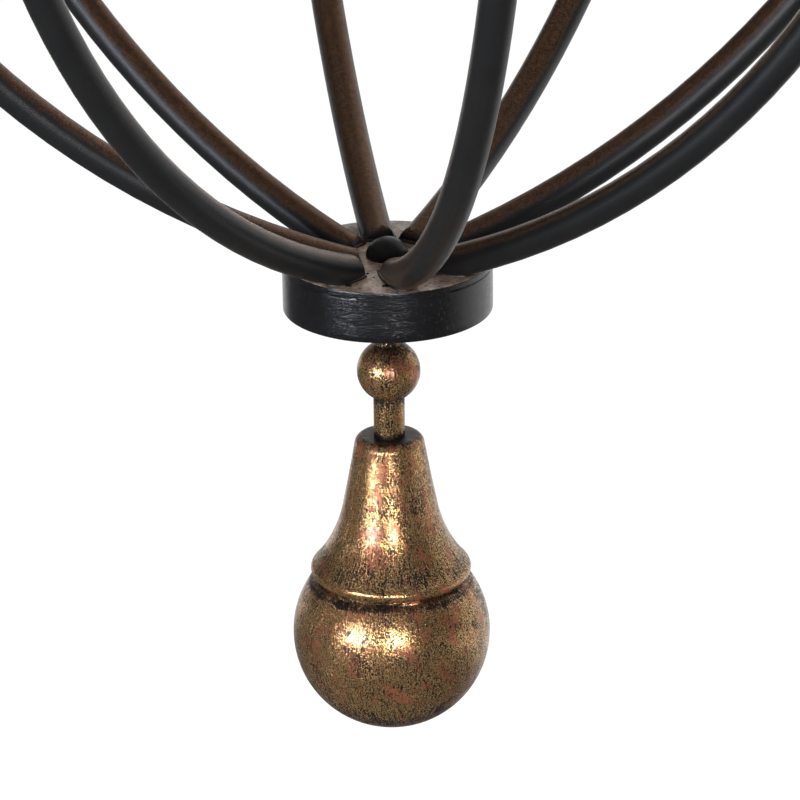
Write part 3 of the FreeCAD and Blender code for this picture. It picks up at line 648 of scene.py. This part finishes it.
# Drops of lacquer at the bars' feet: (right, nearer, width), in millimetres.
DROPS = [
    (-18.3, 40.4, 2.6),
    (-1.2, 41.6, 2.4),
    (28.4, 17.6, 2.2),
    (-13.5, 30.5, 1.6),
    (-16.0, 33.0, 1.2),
    (-9.5, 24.0, 1.3),
    (-6.5, 29.5, 1.0),
    (-22.0, 4.0, 1.8),
    (-17.5, -5.5, 1.4),
    (-25.0, -20.5, 1.5),
    (14.5, -17.0, 1.6),
    (17.5, 25.5, 1.5),
    (31.0, -3.5, 1.4),
    (-34.0, 8.0, 1.3),
]


def spatter(lacquer):
    """Drops at the feet, copied from one, each flattened in its own way and lumpy."""
    random.seed(5)
    bpy.ops.object.select_all(action="DESELECT")
    bpy.ops.mesh.primitive_ico_sphere_add(subdivisions=3, radius=MM / 2)
    model = bpy.context.object
    drops = []
    for right, nearer, width in DROPS:
        drop = twin(model)
        drop.location = on_plate(right, nearer)
        flat = (random.uniform(0.9, 1.35), random.uniform(0.8, 1.1), random.uniform(0.6, 0.9))
        drop.scale = Vector(flat) * width
        pick_only(drop)
        bpy.ops.object.transform_apply(location=True, rotation=False, scale=True)
        drops.append(drop)
    bpy.data.objects.remove(model)
    piece = joined(drops)
    ripple(piece, size=1.1 * MM, depth=0.25 * MM)
    bpy.ops.object.shade_smooth()
    settle(piece, "lacquer_drops", lacquer, "fixture", "dusted_black_iron")


def bore_of(node):
    """The radius of the hole through a disc."""
    return min(math.hypot(v.co.x, v.co.y) for v in frame["nodes"][node].data.vertices)


# The seam between hub and plate: (first and last angle from the camera's side, how deep it
# is in mm, how far it spreads up or down in mm). Elsewhere lacquer fills it.
SEAM = [
    (-57.0, -36.0, 0.35, 0.4),
    (-37.0, -16.0, 0.45, 0.6),
    (33.0, 76.0, 0.45, 0.5),
    (118.0, 171.0, 0.4, 0.5),
    (-150.0, -96.0, 0.4, 0.6),
]
# Each opening closes over this many degrees at its ends.
SEAM_TAPER = 5.0
EDGE_ROUND = 0.6
# Rings of points on a disc's edge: in mm from the seam, and then as shares of its height.
SEAM_ROWS = (0.0, 0.25, 0.5, 0.8, 1.2, 1.7, 2.3)
SIDE_ROWS = (0.25, 0.45, 0.65, 0.85)
DISC_STEPS = 320
UNEVEN_SIZE = 14.0
UNEVEN_DEPTH = 0.12
STROKE_SLOPE = 0.9


def seam_at(turn, off):
    """How far the surface stands back at this angle, off millimetres from the seam."""
    ragged = 1 + 0.6 * mathutils.noise.noise(Vector((turn * 0.35, 0, 7)))
    depth = 0.0
    for first, last, deep, spread in SEAM:
        if first < turn < last:
            taper = min(1.0, (turn - first) / SEAM_TAPER, (last - turn) / SEAM_TAPER)
            reach = max(0.0, 1 - off / (spread * ragged))
            depth = max(depth, deep * taper * reach)
    return depth


def lay_brush(piece):
    """Writes each point's place on the rim, where the brush strokes slope a little."""
    places = []
    for vertex in piece.data.vertices:
        x, y, z = vertex.co
        turn = math.atan2(y, x)
        places.append((x, y, z + STROKE_SLOPE * MM * math.sin(turn * 3)))
    write_vectors(piece, "brush", places)


def disc(node, seam_above, material):
    """A turned disc with soft outer edges and a seam that is open in places."""
    low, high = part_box(node)
    rim = high.x
    bore = bore_of(node)
    far = EDGE_ROUND * MM
    side = [row * MM for row in SEAM_ROWS]
    height = high.z - low.z
    side += [height * share for share in SIDE_ROWS]
    side = sorted({round(row, 6) for row in side if row < height - 1.2 * far})
    corner = [(rim - far * (1 - math.sin(a)), far * (1 - math.cos(a))) for a in (1.2, 0.8, 0.4, 0.0)]
    if seam_above:
        seam, away = high.z, -1
    else:
        seam, away = low.z, 1
    far_face = seam + away * height
    outline = [(bore, seam), (rim * 0.8, seam)]
    outline += [(rim, seam + away * row) for row in side]
    outline += [(radius, far_face - away * inset) for radius, inset in corner]
    outline += [(rim * 0.8, far_face), (bore, far_face), (bore, seam)]
    piece = turned(outline, steps=DISC_STEPS)
    for vertex in piece.data.vertices:
        x, y, z = vertex.co
        radius = math.hypot(x, y)
        if radius > rim * 0.9:
            turn = math.degrees(math.atan2(y, x)) + 90 - CAMERA_AZIMUTH
            turn = (turn + 180) % 360 - 180
            uneven = UNEVEN_DEPTH * mathutils.noise.noise(vertex.co / (UNEVEN_SIZE * MM))
            depth = (seam_at(turn, abs(z - seam) / MM) + max(0.0, uneven)) * MM
            vertex.co.x *= (radius - depth) / radius
            vertex.co.y *= (radius - depth) / radius
    lay_brush(piece)
    return settle(piece, node + "_disc", material, "fixture", "dusted_black_iron", node)


def hubs(dust_above, dust_below):
    """Each hub's thick disc and the thin plate on its inner side."""
    disc("bottom_hub", True, dust_above)
    disc("bottom_hub_plate", False, dust_above)
    disc("top_hub", False, dust_below)
    disc("top_hub_plate", True, dust_below)


# ---------------------------------------------------------------- finial


def lay_leaf(piece, ball=False):
    """Writes each point's place on the leaf, round and down."""
    points = [vertex.co.copy() for vertex in piece.data.vertices]
    girth = max(math.hypot(p.x, p.y) for p in points)
    middle = (max(p.z for p in points) + min(p.z for p in points)) / 2
    places = []
    for p in points:
        turn = math.atan2(p.y, p.x)
        down = p.z
        if ball:
            down = girth * math.asin(max(-1.0, min(1.0, (p.z - middle) / girth)))
        places.append((girth * math.cos(turn), girth * math.sin(turn), down))
    write_vectors(piece, "leaf", places)


def finial(gold):
    """The turned metal and wood below the hub, and the small knob of the lights."""
    for node in ("finial_collar_tube", "finial_bead", "finial_neck"):
        lay_leaf(skin(node, gold, "gilt_metal"), ball=node == "finial_bead")
    for node in ("finial_bell", "finial_ball"):
        lay_leaf(skin(node, gold, "gilt_wood"), ball=node == "finial_ball")
    lay_leaf(skin("cluster_knob", gold, "gilt_metal"))


# ---------------------------------------------------------------- chain, lights


# A link's weld lump: (its radius as a share of the wire's width, height in mm).
LUMP = [(0.49, -1.9), (0.53, -1.2), (0.56, -0.3), (0.56, 0.5), (0.52, 1.3), (0.49, 1.9)]


def chain_welds(iron):
    """The lump where each link's wire was welded shut, half way up one leg."""
    low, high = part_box("chain_link_1")
    wire = min(high.x - low.x, high.y - low.y)
    model = turned([(wire * share, rise * MM) for share, rise in LUMP], steps=32)
    ripple(model, size=1.5 * MM, depth=0.15 * MM)
    for number in range(1, LINKS + 1):
        low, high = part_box(f"chain_link_{number}")
        leg = max(high.x, high.y) - min(high.x - low.x, high.y - low.y) / 2
        middle = (low.z + high.z) / 2
        lump = twin(model)
        lump.location = (0, leg, middle) if high.y > high.x else (leg, 0, middle)
        settle(lump, f"chain_weld_{number}", iron, f"link_{number}", "black_steel")
    bpy.data.objects.remove(model)


NECK_WIDTH = 15.8
BELLY_WIDTH = 35.0
BELLY_HEIGHT = 28.0
GLASS_WALL = 0.6
FILAMENT_WIDTH = 0.5
# How far each bulb is screwed round, in radians.
BULB_TURN = 0.6

# Outlines of (radius, height above the lamp holder), in millimetres.
STEM = [(6.6, 1.8), (4.2, 4.5), (2.4, 8.0), (1.9, 14.0), (2.7, 18.0), (2.3, 20.0), (0.0, 20.6)]
SHELL = [(5.0, -21.0), (5.9, -20.0), (5.9, -1.0), (7.6, 0.2), (8.2, 1.0), (8.2, 2.6), (7.4, 3.0)]


def envelope(height):
    """The bulb's glass: a neck, a round belly and a flame point."""
    neck, belly = NECK_WIDTH / 2, BELLY_WIDTH / 2
    start = -math.acos(neck / belly)
    stop = math.radians(15)
    outline = [(neck, 1.5), (neck, 6.0)]
    for step in range(13):
        turn = start + (stop - start) * step / 12
        outline.append((belly * math.cos(turn), BELLY_HEIGHT + belly * math.sin(turn)))
    shoulder, rise = outline[-1]
    for step in range(1, 15):
        share = step / 14
        outline.append((shoulder * (1 - share) ** 0.8, rise + (height - rise) * share))
    glass = turned([(r * MM, z * MM) for r, z in outline], steps=48, angle=80)
    wall = glass.modifiers.new("wall", "SOLIDIFY")
    wall.thickness = GLASS_WALL * MM
    wall.offset = -1
    bpy.ops.object.modifier_apply(modifier="wall")
    return glass


def glass_stem():
    """The glass stem that holds up the filament's leads."""
    return turned([(r * MM, z * MM) for r, z in STEM], steps=32, angle=80)


def shell():
    """The brass cap below the glass, with its skirt."""
    return turned([(r * MM, z * MM) for r, z in SHELL], steps=48)


def filament():
    """A wire that rises from the stem and zigzags up and down inside the glass."""
    points = [(-1.0, 19.0), (-4.6, 27.0), (-3.9, 47.0), (-1.6, 30.0), (0.0, 48.0)]
    points += [(-x, z) for x, z in reversed(points[:-1])]
    line = drawn_line([(x * MM, 0, z * MM) for x, z in points])
    bpy.ops.object.mode_set(mode="OBJECT")
    return made_tube(line, FILAMENT_WIDTH * MM)


def bulbs(glass, brass, wire):
    """Each light's bulb, made once on the axis and copied to its place."""
    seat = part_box("lamp_socket_1")[1].z
    height = (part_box("bulb_1")[1].z - seat) / MM
    reach = (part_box("bulb_1")[0].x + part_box("bulb_1")[1].x) / 2
    models = {
        "envelope": (envelope(height), glass),
        "stem": (glass_stem(), glass),
        "shell": (shell(), brass),
        "filament": (filament(), wire),
    }
    for number in range(1, LIGHTS + 1):
        turn = (number - 1) * math.tau / LIGHTS
        for part, (model, material) in models.items():
            piece = twin(model)
            piece.rotation_euler = (0, 0, turn + BULB_TURN)
            piece.location = (reach * math.cos(turn), reach * math.sin(turn), seat)
            nodes = (f"bulb_{number}",) if part == "envelope" else ()
            settle(piece, f"bulb_{part}_{number}", material, "fixture", "bulb_glass", *nodes)
    for model, _ in models.values():
        bpy.data.objects.remove(model)


# ---------------------------------------------------------------- everything


def make_pieces():
    """Every piece of the chandelier, with its material."""
    dust_above = lacquered_iron("lacquered_iron_dusted_above", "above")
    dust_below = lacquered_iron("lacquered_iron_dusted_below", "below")
    iron = lacquered_iron("lacquered_iron", "faintly")
    gold = antique_gold()
    zinc = zinc_plate()
    bars = cage_bars(lacquered_iron("lacquered_iron_bar", "inside"))
    welds(bars, "lower_welds", plate_top, dust_above)
    welds(bars, "upper_welds", cage_top, dust_below)
    spatter(thick_lacquer("pooled_black_lacquer", 0.1, 0.22))
    hubs(brushed_lacquer("brushed_black_hub", 1.0), brushed_lacquer("brushed_black_top_hub", -1.0))
    skin("cap_nut", thick_lacquer("satin_black_nut", 0.3, 0.42), "black_steel")
    finial(gold)
    chain_welds(iron)
    plain = ["canopy", "canopy_loop", "canopy_collar", "fixture_loop"]
    plain += ["stem_collar", "centre_stem", "cluster_cap", "cluster_body", "cluster_base"]
    plain += [f"chain_link_{number}" for number in range(1, LINKS + 1)]
    plain += [f"arm_{number}" for number in range(1, LIGHTS + 1)]
    for node in plain:
        skin(node, iron, "black_steel")
    for node in ("crossbar", "crossbar_locknut", "ceiling_nipple", "top_nipple", "finial_stud"):
        skin(node, zinc, "zinc_steel")
    skin("ground_screw", grounding_green(), "green_screw")
    ivory, phenolic = candle_ivory(), holder_black()
    for number in range(1, LIGHTS + 1):
        lay_leaf(skin(f"drip_pan_{number}", gold, "gilt_metal"))
        skin(f"candle_sleeve_{number}", ivory, "ivory_sleeve")
        skin(f"lamp_socket_{number}", phenolic, "lamp_holder")
    bulbs(blown_glass(), bulb_brass(), filament_wire())


# ---------------------------------------------------------------- studio and camera

# The picture's width, the focal length and the hub's place in the picture, in pixels.
PICTURE = 800
FOCAL = 4492.0
HUB_SEEN_X = 387.3
HUB_SEEN_Y = 256.0
SENSOR = 36.0
CAMERA_BACK = 2026.5
CAMERA_RISE = 747.6
CAMERA_ROLL = -0.68
LAMP_AIM = 80.0
# In metres.
FLOOR_DROP = 0.75
FLOOR_RADIUS = 40
# Strengths and shares of light, where 1 is white.
EVEN_LIGHT = 0.12
FLOOR_GLOW = 0.7
FLOOR_WHITE = 1.24


def camera():
    """The photograph's camera: a long lens, looking down a little at the lower hub."""
    turn = Matrix.Rotation(math.radians(CAMERA_AZIMUTH), 3, "Z")
    hub = Vector((0, 0, plate_top))
    place = hub + turn @ Vector((0, -CAMERA_BACK * MM, CAMERA_RISE * MM))
    bpy.ops.object.camera_add(location=place)
    eye = bpy.context.object
    seen = Vector((HUB_SEEN_X - PICTURE / 2, PICTURE / 2 - HUB_SEEN_Y, -FOCAL))
    aim = (hub - place).to_track_quat("-Z", "Y")
    roll = Quaternion((0, 0, 1), math.radians(CAMERA_ROLL))
    eye.rotation_euler = (aim @ roll @ seen.rotation_difference(Vector((0, 0, -1)))).to_euler()
    eye.data.sensor_width = SENSOR
    eye.data.lens = FOCAL * SENSOR / PICTURE
    eye.data.clip_start = 0.05
    eye.data.clip_end = 200
    bpy.context.scene.camera = eye


def lamp(name, azimuth, elevation, distance, width, height, watts, colour):
    """A soft box that faces the finial. Its azimuth is from the camera, positive to its
    right, and its distance and sizes are in metres."""
    aim = Vector((0, 0, hub_floor - LAMP_AIM * MM))
    turn = math.radians(CAMERA_AZIMUTH + azimuth)
    rise = math.radians(elevation)
    back = Vector((math.sin(turn) * math.cos(rise), -math.cos(turn) * math.cos(rise), math.sin(rise)))
    bpy.ops.object.light_add(type="AREA", location=aim + back * distance)
    box = bpy.context.object
    box.name = name
    box.rotation_euler = (-back).to_track_quat("-Z", "Y").to_euler()
    box.data.shape = "RECTANGLE"
    box.data.size = width
    box.data.size_y = height
    box.data.energy = watts
    box.data.color = srgb(colour)[:3]
    box.visible_camera = False


def bright_side():
    """Away from the camera and to its right, where the studio's walls are white."""
    turn = Matrix.Rotation(math.radians(CAMERA_AZIMUTH), 3, "Z")
    return turn @ Vector((0.6, 1.0, 0.0))


def world():
    """White to the eye. What lights and mirrors in the object is dim on the camera's side
    and on its left, bright behind and on its right, and soft overhead, as in a studio."""
    sky = bpy.data.worlds.new("studio")
    bpy.context.scene.world = sky
    sky.use_nodes = True
    tree = sky.node_tree
    tree.nodes.clear()
    direct = add(tree, "LightPath", out="Is Camera Ray")
    through = add(tree, "LightPath", out="Is Transmission Ray")
    seen = add(tree, "Math", direct, through, operation="MAXIMUM")
    mirrored = add(tree, "LightPath", out="Is Glossy Ray")
    way = add(tree, "TexCoord", out="Generated")
    toward = add(tree, "VectorMath", way, bright_side(), operation="DOT_PRODUCT")
    upward = add(tree, "SeparateXYZ", way, out="Z")
    around = add(tree, "MapRange", toward, 0.35, 0.95, 0.05, 0.95, **SOFT)
    overhead = add(tree, "MapRange", upward, 0.3, 0.95, 0.0, 0.35, **SOFT)
    fill = add(tree, "Math", around, overhead, operation="ADD")
    # A little even light fills the shadows, and isn't mirrored.
    fill = add(tree, "Math", fill, EVEN_LIGHT, operation="ADD")
    fill = add(tree, "Math", mirrored, -EVEN_LIGHT, fill, operation="MULTIPLY_ADD")
    light = add(tree, "Mix", seen, fill, 1.0)
    add(tree, "OutputWorld", add(tree, "Background", "#ffffff", light))


def floor():
    """A wide pale floor well below the finial. It looks white and keeps the shadow. In
    metal it is dark below the object and bright far behind it."""
    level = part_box("finial_ball")[0].z - FLOOR_DROP
    bpy.ops.object.select_all(action="DESELECT")
    bpy.ops.mesh.primitive_circle_add(
        vertices=96, radius=FLOOR_RADIUS, fill_type="NGON", location=(0, 0, level)
    )
    ground = bpy.context.object
    ground.name = "studio_floor"
    material, tree = new_material("pale_floor")
    paint = add(tree, "BsdfPrincipled", Base_Color="#f2f2f1", Roughness=0.9)
    direct = add(tree, "LightPath", out="Is Camera Ray")
    through = add(tree, "LightPath", out="Is Transmission Ray")
    seen = add(tree, "Math", direct, through, operation="MAXIMUM")
    mirrored = add(tree, "LightPath", out="Is Glossy Ray")
    place = add(tree, "TexCoord", out="Object")
    reach = add(tree, "VectorMath", place, bright_side(), operation="DOT_PRODUCT")
    in_metal = add(tree, "MapRange", reach, 0.7, 2.1, 0.12, 1.0, **SOFT)
    in_metal = add(tree, "Math", mirrored, in_metal, operation="MULTIPLY")
    strength = add(tree, "Math", seen, FLOOR_WHITE, in_metal, operation="MULTIPLY_ADD")
    glow = add(tree, "Emission", "#ffffff", strength)
    share = add(tree, "Math", seen, FLOOR_GLOW, mirrored, operation="MULTIPLY_ADD")
    add(tree, "OutputMaterial", add(tree, "MixShader", share, paint, glow))
    ground.data.materials.append(material)


make_pieces()
camera()
lamp(
    "left_softbox",
    azimuth=-41,
    elevation=7,
    distance=2.6,
    width=1.15,
    height=0.5,
    watts=62,
    colour="#eaf1ff",
)
lamp(
    "right_softbox",
    azimuth=5,
    elevation=9,
    distance=2.9,
    width=0.68,
    height=0.5,
    watts=48,
    colour="#fcfcff",
)
world()
floor()
bpy.context.scene.view_settings.view_transform = "Standard"
